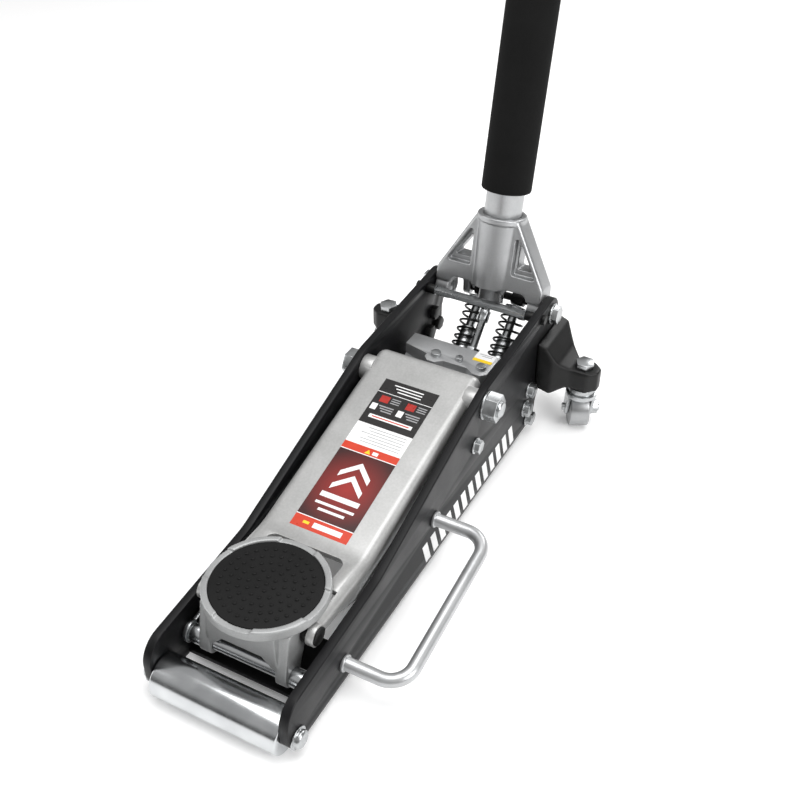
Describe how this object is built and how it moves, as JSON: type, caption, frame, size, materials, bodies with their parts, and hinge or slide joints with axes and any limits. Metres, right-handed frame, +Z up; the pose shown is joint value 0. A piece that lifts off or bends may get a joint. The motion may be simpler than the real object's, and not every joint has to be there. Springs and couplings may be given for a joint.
{
  "type": "hydraulic floor jack",
  "caption": "Low-profile aluminium floor jack with twin pump, round padded saddle, side carry handle and two-piece padded pump handle.",
  "frame": {"origin": "centre of the footprint of the whole jack with its handle upright, on the floor", "axes": "+X forward to the saddle and front roller, +Y to the side with the carry handle, +Z up"},
  "size_m": [0.7269, 0.26, 1.1031],
  "materials": {
    "black_plate": "black satin anodised aluminium plate",
    "black_cast": "black satin powder-coated casting",
    "silver_paint": "silver-grey satin paint on pressed steel",
    "socket_cast": "cast and tumbled aluminium",
    "saddle_cast": "light grey painted casting",
    "block_steel": "grey machined block with clear finish",
    "zinc": "bright zinc-plated steel",
    "chrome": "hard chrome plate",
    "black_steel": "black oxide steel",
    "handle_paint": "silver painted tube",
    "foam": "closed-cell foam sleeve, matte black",
    "pad_rubber": "moulded black rubber with small studs",
    "grip_rubber": "moulded black rubber grip",
    "rod_silver": "flat bar, zinc-plated"
  },
  "bodies": {
    "frame": {"side_plate_left": "black_plate", "side_plate_right": "black_plate", "front_cross_plate": "black_steel", "front_axle": "zinc", "nose_bolts": "zinc", "carry_handle": "handle_paint", "main_pivot_bolt": "zinc", "main_pivot_nut": "zinc", "radius_rod_bolts": "zinc", "spring_anchor_bar": "zinc", "return_springs": "black_steel", "pump_block": "block_steel", "block_cap_screws": "zinc", "block_bolts": "zinc", "ram_gland": "block_steel", "reservoir_tube": "black_cast", "filler_plug": "pad_rubber", "pump_barrels": "zinc", "pump_spring_left": "black_steel", "pump_spring_right": "black_steel", "valve_gland": "zinc", "socket_bolts": "zinc", "stop_bar": "zinc", "caster_bracket_left": "black_cast", "caster_bracket_right": "black_cast", "bracket_bolts": "black_steel", "kingpins": "zinc"},
    "front_roller": {"front_roller": "chrome"},
    "lift_arm": {"lift_arm": "silver_paint", "crank_pin": "chrome", "crank_bush": "zinc", "spring_hook_pin": "zinc", "arm_front_pins": "black_steel"},
    "radius_rods": {"radius_rod_left": "rod_silver", "radius_rod_right": "rod_silver"},
    "saddle_yoke": {"saddle_yoke": "saddle_cast", "link_pin": "chrome"},
    "saddle": {"saddle_dish": "saddle_cast", "saddle_pad": "pad_rubber", "saddle_retainer": "black_steel"},
    "ram": {"ram": "chrome"},
    "handle_socket": {"handle_socket": "socket_cast", "press_rollers": "black_steel"},
    "handle": {"handle_tube_lower": "handle_paint", "handle_foam": "foam", "handle_tube_upper": "handle_paint", "handle_grip": "grip_rubber", "handle_cup": "socket_cast"},
    "snap_button": {"snap_button": "zinc"},
    "release_rod": {"release_rod": "zinc", "release_sleeve": "zinc"},
    "pump_plunger_left": {"pump_plunger_left": "chrome"},
    "pump_plunger_right": {"pump_plunger_right": "chrome"},
    "caster_left": {"caster_fork_left": "zinc"},
    "caster_right": {"caster_fork_right": "zinc"},
    "wheel_left": {"caster_wheel_left": "block_steel"},
    "wheel_right": {"caster_wheel_right": "block_steel"}
  },
  "joints": [
    {"name": "roller_spin", "type": "hinge", "parent": "frame", "child": "front_roller", "pos_m": [0.346, 0, 0.019], "axis": [0, 1, 0], "continuous": true},
    {"name": "arm_lift", "type": "hinge", "parent": "frame", "child": "lift_arm", "pos_m": [0.014, 0, 0.112], "axis": [0, -1, 0], "range_deg": [0, 60], "stiffness_Nm_per_rad": 6, "springref_deg": -11.46, "deforming": ["return_springs"]},
    {"name": "rod_swing", "type": "hinge", "parent": "frame", "child": "radius_rods", "pos_m": [0.034, 0, 0.078], "axis": [0, -1, 0], "range_deg": [0, 60]},
    {"name": "yoke_level", "type": "hinge", "parent": "lift_arm", "child": "saddle_yoke", "pos_m": [0.289, 0, 0.069], "axis": [0, -1, 0], "range_deg": [-60, 0]},
    {"name": "saddle_swivel", "type": "hinge", "parent": "saddle_yoke", "child": "saddle", "pos_m": [0.277, 0, 0.0803], "axis": [0, 0, 1], "continuous": true},
    {"name": "ram_stroke", "type": "slide", "parent": "frame", "child": "ram", "axis": [1, 0, 0], "range_m": [0, 0.046]},
    {"name": "handle_pump", "type": "hinge", "parent": "frame", "child": "handle_socket", "pos_m": [-0.145, 0, 0.12], "axis": [0, -1, 0], "range_deg": [0, 42], "stiffness_Nm_per_rad": 11, "springref_deg": -20.05, "deforming": ["pump_spring_left", "pump_spring_right"]},
    {"name": "handle_twist", "type": "hinge", "parent": "handle_socket", "child": "handle", "pos_m": [-0.145, 0, 0.12], "axis": [-0.1994, 0, 0.9799], "range_deg": [0, 90]},
    {"name": "snap_press", "type": "slide", "parent": "handle", "child": "snap_button", "axis": [-0.9799, 0, -0.1994], "range_m": [0, 0.003], "stiffness_N_per_m": 400, "springref_m": -0.003},
    {"name": "release_turn", "type": "hinge", "parent": "frame", "child": "release_rod", "pos_m": [-0.145, 0, 0.12], "axis": [-0.7071, 0, 0.7071], "range_deg": [0, 90]},
    {"name": "plunger_left", "type": "slide", "parent": "frame", "child": "pump_plunger_left", "axis": [0.7071, 0, -0.7071], "range_m": [0, 0.021]},
    {"name": "plunger_right", "type": "slide", "parent": "frame", "child": "pump_plunger_right", "axis": [0.7071, 0, -0.7071], "range_m": [0, 0.021]},
    {"name": "caster_left_swivel", "type": "hinge", "parent": "frame", "child": "caster_left", "pos_m": [-0.13, 0.113, 0.05], "axis": [0, 0, 1], "continuous": true},
    {"name": "wheel_left_spin", "type": "hinge", "parent": "caster_left", "child": "wheel_left", "pos_m": [-0.13883, 0.1083, 0.02], "axis": [-0.4695, 0.8829, 0], "continuous": true},
    {"name": "caster_right_swivel", "type": "hinge", "parent": "frame", "child": "caster_right", "pos_m": [-0.13, -0.113, 0.05], "axis": [0, 0, 1], "continuous": true},
    {"name": "wheel_right_spin", "type": "hinge", "parent": "caster_right", "child": "wheel_right", "pos_m": [-0.13883, -0.1083, 0.02], "axis": [0.4695, 0.8829, 0], "continuous": true}
  ],
  "couplings": [
    {"joint": "rod_swing", "follows": "arm_lift", "ratio": 1},
    {"joint": "yoke_level", "follows": "arm_lift", "ratio": -1},
    {"joint": "ram_stroke", "follows": "arm_lift", "m_per_rad": 0.04297},
    {"joint": "release_turn", "follows": "handle_twist", "ratio": 1},
    {"joint": "plunger_left", "follows": "handle_pump", "m_per_rad": 0.02838},
    {"joint": "plunger_right", "follows": "handle_pump", "m_per_rad": 0.02838}
  ]
}
